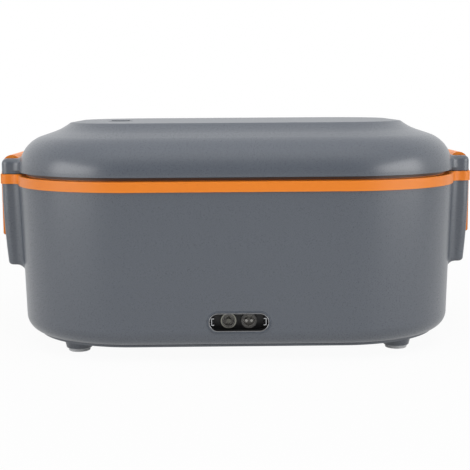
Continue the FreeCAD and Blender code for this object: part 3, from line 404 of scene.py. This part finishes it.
bpy.ops.transform.resize(value=(-1, 1, 1), center_override=(0, 0, 0))
bpy.ops.mesh.normals_make_consistent(inside=False)
bpy.ops.object.mode_set(mode="OBJECT")
for piece in (clip, mirrored_clip):
    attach(piece, "base")

# Rim band: an orange ring clipped over the casing's upper edge, moulded in one with its neck,
# whose groove under the lid is painted dull dark brown as painted shade where the lid's shadow
# falls.
accent_deep, accent_pale = (0.755, 0.200, 0.008), (0.810, 0.217, 0.010)
accent_gloss = (0.34, 0.44)
band_top, groove_level = 0.0848, 0.0853
painted_groove_shade = (0.085, 0.035, 0.012, 1)
band_plastic = moulding("band_plastic", accent_deep, accent_pale, *accent_gloss)
tree = band_plastic.node_tree
# Painted shade: above the band's top, the neck is coloured dark brown in place of the lid's shadow.
groove_shade = edge_mask(tree, part_axes(tree)["Z"], band_top, groove_level)
overlay(tree, shader_of(band_plastic).inputs["Base Color"], groove_shade, "RGBA", painted_groove_shade)
dress(band_plastic, "rim_band")

# Heating chamber: a pale plastic liner hung in the band, an aluminium plate let into its floor,
# and under it the heater, thermostat and fuse on sleeved leads.
liner_plastic = moulding(
    "liner_plastic", (0.56, 0.57, 0.58), (0.60, 0.61, 0.62), 0.4, 0.52
)
dress(liner_plastic, "chamber_liner")
plate_aluminium = metal(
    "plate_aluminium", (0.68, 0.69, 0.70), (0.80, 0.81, 0.82), 0.25, 0.42, (40, 2200, 400)
)
dress(plate_aluminium, "heating_plate", "ptc_heater")
thermostat_resin = moulding(
    "thermostat_resin", (0.055, 0.022, 0.010), (0.075, 0.032, 0.015), 0.4, 0.6
)
dress(thermostat_resin, "thermostat")
lead_sleeve = moulding(
    "lead_sleeve", (0.60, 0.60, 0.57), (0.70, 0.70, 0.67), 0.6, 0.8, 2200, 90, 0.4, 0.0001
)
dress(lead_sleeve, "lead_live", "lead_neutral", "lead_link")
fuse_can = metal(
    "fuse_can", (0.50, 0.50, 0.47), (0.62, 0.62, 0.58), 0.18, 0.3, (700, 2500, 700)
)
dress(fuse_can, "thermal_fuse")

# Food container: a tub deep-drawn from thin stainless sheet, its lip turned out flat, polished
# inside and out with faint lines left around the wall.
container_steel = metal(
    "container_steel", (0.58, 0.58, 0.57), (0.68, 0.68, 0.67), 0.16, 0.3, (60, 60, 1600)
)
dress(container_steel, "food_container")

# Lid: a grey dome of the casing's plastic with a matt top, a pale panel welded under it, a
# silicone ring held between the panel's ribs, and a grey silicone plug in the steam vent.
top_starts, top_level = 0.1098, 0.1107
top_roughness = 0.38
lid_plastic = moulding("lid_plastic", casing_deep, casing_pale, *casing_gloss)
shader = shader_of(lid_plastic)
shader.inputs["Specular IOR Level"].default_value = casing_sheen
tree = lid_plastic.node_tree
matt_top = edge_mask(tree, part_axes(tree)["Z"], top_starts, top_level)
overlay(tree, shader.inputs["Roughness"], matt_top, "FLOAT", top_roughness)
dress(lid_plastic, "lid_shell")
dress(liner_plastic, "lid_panel")
seal_silicone = moulding(
    "seal_silicone", (0.62, 0.63, 0.64), (0.70, 0.71, 0.72), 0.5, 0.65, 1500, 40, 0.15
)
dress(seal_silicone, "lid_seal")
plug_silicone = moulding(
    "plug_silicone", (0.10, 0.11, 0.13), (0.13, 0.14, 0.16), 0.5, 0.65, 1500, 60, 0.2
)
dress(plug_silicone, "vent_plug")

# Latches: two orange flaps of the band's plastic, moulded with a bored knuckle and a hook rib, each
# hung from a steel pin in the lid's ear.
accent_plastic = moulding("accent_plastic", accent_deep, accent_pale, *accent_gloss)
dress(accent_plastic, "latch_left", "latch_right")

# Studio: a wide white floor that keeps a faint shadow near the part, a white surround that darkens
# towards the camera, a large soft lamp above, a soft panel to each side and a weak one behind.
bpy.ops.object.select_all(action="DESELECT")
floor_size, floor_drop = 8, 0.0002
floor_grey = (0.6, 0.6, 0.6, 1)
floor_mirror = 0.7
shadow_near, shadow_far = 0.15, 0.75
white_near = 0.95
bpy.ops.mesh.primitive_plane_add(size=floor_size, location=(0, 0, -floor_drop))
floor = bpy.context.object
floor.name = "floor"
floor_paint = bpy.data.materials.new("floor_paint")
floor_paint.use_nodes = True
tree = floor_paint.node_tree
paint = tree.nodes["Principled BSDF"]
paint.inputs["Base Color"].default_value = floor_grey
paint.inputs["Roughness"].default_value = 0.9
paint.inputs["Specular IOR Level"].default_value = 0
white = tree.nodes.new("ShaderNodeEmission")
path = tree.nodes.new("ShaderNodeLightPath")
bounced = tree.nodes.new("ShaderNodeMath")
bounced.operation = "MAXIMUM"
tree.links.new(path.outputs["Is Glossy Ray"], bounced.inputs[0])
tree.links.new(path.outputs["Is Transmission Ray"], bounced.inputs[1])
glow = tree.nodes.new("ShaderNodeMath")
glow.operation = "MULTIPLY"
glow.inputs[1].default_value = floor_mirror
tree.links.new(bounced.outputs["Value"], glow.inputs[0])
place = tree.nodes.new("ShaderNodeTexCoord")
spread = tree.nodes.new("ShaderNodeVectorMath")
spread.operation = "LENGTH"
tree.links.new(place.outputs["Object"], spread.inputs[0])
fade = tree.nodes.new("ShaderNodeMapRange")
fade.inputs["From Min"].default_value = shadow_near
fade.inputs["From Max"].default_value = shadow_far
fade.inputs["To Min"].default_value = white_near
fade.inputs["To Max"].default_value = 1
tree.links.new(spread.outputs["Value"], fade.inputs["Value"])
share = tree.nodes.new("ShaderNodeMath")
share.operation = "MULTIPLY_ADD"
tree.links.new(path.outputs["Is Camera Ray"], share.inputs[0])
tree.links.new(fade.outputs["Result"], share.inputs[1])
tree.links.new(glow.outputs["Value"], share.inputs[2])
blend = tree.nodes.new("ShaderNodeMixShader")
tree.links.new(share.outputs["Value"], blend.inputs["Fac"])
tree.links.new(paint.outputs["BSDF"], blend.inputs[1])
tree.links.new(white.outputs["Emission"], blend.inputs[2])
tree.links.new(blend.outputs["Shader"], tree.nodes["Material Output"].inputs["Surface"])
floor.data.materials.append(floor_paint)

dusk_starts, dusk_full = -0.5, -1
dusk_grey = (0.42, 0.43, 0.45, 1)
fill_strength = 0.25
surround = bpy.data.worlds.new("surround")
bpy.context.scene.world = surround
surround.use_nodes = True
tree = surround.node_tree
way = tree.nodes.new("ShaderNodeTexCoord")
split = tree.nodes.new("ShaderNodeSeparateXYZ")
tree.links.new(way.outputs["Generated"], split.inputs["Vector"])
dusk = tree.nodes.new("ShaderNodeMapRange")
dusk.interpolation_type = "SMOOTHSTEP"
dusk.inputs["From Min"].default_value = dusk_starts
dusk.inputs["From Max"].default_value = dusk_full
tree.links.new(split.outputs["Y"], dusk.inputs["Value"])
path = tree.nodes.new("ShaderNodeLightPath")
mirrored = tree.nodes.new("ShaderNodeMath")
mirrored.operation = "MULTIPLY"
tree.links.new(path.outputs["Is Glossy Ray"], mirrored.inputs[0])
tree.links.new(dusk.outputs["Result"], mirrored.inputs[1])
sky = tree.nodes.new("ShaderNodeMix")
sky.data_type = "RGBA"
sky.inputs["A"].default_value = (1, 1, 1, 1)
sky.inputs["B"].default_value = dusk_grey
tree.links.new(mirrored.outputs["Value"], sky.inputs["Factor"])
tree.links.new(sky.outputs["Result"], tree.nodes["Background"].inputs["Color"])
strength = tree.nodes.new("ShaderNodeMapRange")
strength.inputs["To Min"].default_value = 1
strength.inputs["To Max"].default_value = fill_strength
tree.links.new(path.outputs["Is Diffuse Ray"], strength.inputs["Value"])
tree.links.new(strength.outputs["Result"], tree.nodes["Background"].inputs["Strength"])


def soft_panel(name, place, aim, width, height, level):
    """A rectangular lamp turned to a point, as bright as white paint times its level."""
    bpy.ops.object.light_add(type="AREA", location=place)
    lamp = bpy.context.object
    lamp.name = name
    lamp.rotation_euler = (Vector(aim) - Vector(place)).to_track_quat("-Z", "Y").to_euler()
    lamp.data.shape = "RECTANGLE"
    lamp.data.size = width
    lamp.data.size_y = height
    lamp.data.energy = level * math.pi * width * height
    lamp.visible_camera = False
    return lamp


middle = (0, 0, 0.05)
panel_x, panel_y, panel_z = 0.95, -0.7, 0.26
panel_level, panel_lean = 2.6, 0.2
overhead_lamp = soft_panel("overhead_lamp", (0, -0.45, 1.1), middle, 1.4, 1.2, 2.6)
overhead_lamp.visible_glossy = False
for side in (-1, 1):
    place = (side * panel_x, panel_y, panel_z)
    level = panel_level + side * panel_lean
    soft_panel(f"side_panel_{side + 2}", place, (0, panel_y, panel_z), 1.1, 0.5, level)
back_panel = soft_panel("back_panel", (0, 1.3, 0.7), middle, 1.2, 0.6, 1.2)
back_panel.visible_glossy = False

camera_turn = (82.565, 0.368, -0.885)
camera = bpy.data.objects.new("camera", bpy.data.cameras.new("camera"))
bpy.context.collection.objects.link(camera)
camera.location = (-0.0087, -0.570, 0.1236)
camera.rotation_euler = [math.radians(angle) for angle in camera_turn]
camera.data.sensor_width = 36
camera.data.lens = 81.8
camera.data.clip_start = 0.01
bpy.context.scene.camera = camera
bpy.context.scene.view_settings.view_transform = "Standard"
